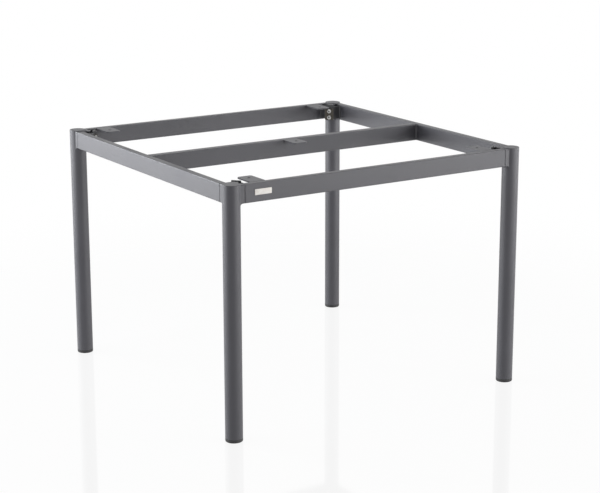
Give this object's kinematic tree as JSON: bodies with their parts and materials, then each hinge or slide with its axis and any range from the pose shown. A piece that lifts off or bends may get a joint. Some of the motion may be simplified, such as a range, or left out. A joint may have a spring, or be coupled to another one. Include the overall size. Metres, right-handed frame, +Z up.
{
  "type": "table frame",
  "caption": "Square table frame of anthracite coated aluminium: round legs with cast corner heads bolted to slim box rails, a cross rail and flat tabs for fixing a top.",
  "frame": {"origin": "centre of the frame's footprint, on the floor that the feet stand on", "axes": "+Z up to the legs' tops, -Y towards the front rail, +X to the right seen from the front"},
  "size_m": [0.968, 0.968, 0.7],
  "materials": {
    "coated_rail": "fine-textured satin powder coat, anthracite",
    "coated_leg": "fine-textured satin powder coat, anthracite",
    "coated_bracket": "thin powder coat, anthracite, darker in the folds",
    "plated_clamp": "dull yellow-grey plating",
    "bright_screw": "bright stainless, turned",
    "glide_plastic": "moulded, matt dark grey",
    "label_plate": "blank cream plate"
  },
  "bodies": {
    "root": {"front_rail": "coated_rail", "back_rail": "coated_rail", "left_rail": "coated_rail", "right_rail": "coated_rail", "cross_rail": "coated_rail", "leg_tube_front_left": "coated_leg", "leg_tube_front_right": "coated_leg", "leg_tube_back_right": "coated_leg", "leg_tube_back_left": "coated_leg", "leg_head_front_left": "coated_leg", "leg_head_front_right": "coated_leg", "leg_head_back_right": "coated_leg", "leg_head_back_left": "coated_leg", "foot_glide_front_left": "glide_plastic", "foot_glide_front_right": "glide_plastic", "foot_glide_back_right": "glide_plastic", "foot_glide_back_left": "glide_plastic", "corner_bracket_front_left": "coated_bracket", "corner_bracket_front_right": "coated_bracket", "corner_bracket_back_right": "coated_bracket", "corner_bracket_back_left": "coated_bracket", "clamp_plate_front_left": "plated_clamp", "clamp_plate_front_right": "plated_clamp", "clamp_plate_back_right": "plated_clamp", "clamp_plate_back_left": "plated_clamp", "fixing_tab_front_left": "coated_rail", "fixing_tab_front_right": "coated_rail", "fixing_tab_back_right": "coated_rail", "fixing_tab_back_left": "coated_rail", "fixing_tab_centre": "coated_rail", "leg_screws": "bright_screw"}
  },
  "joints": []
}
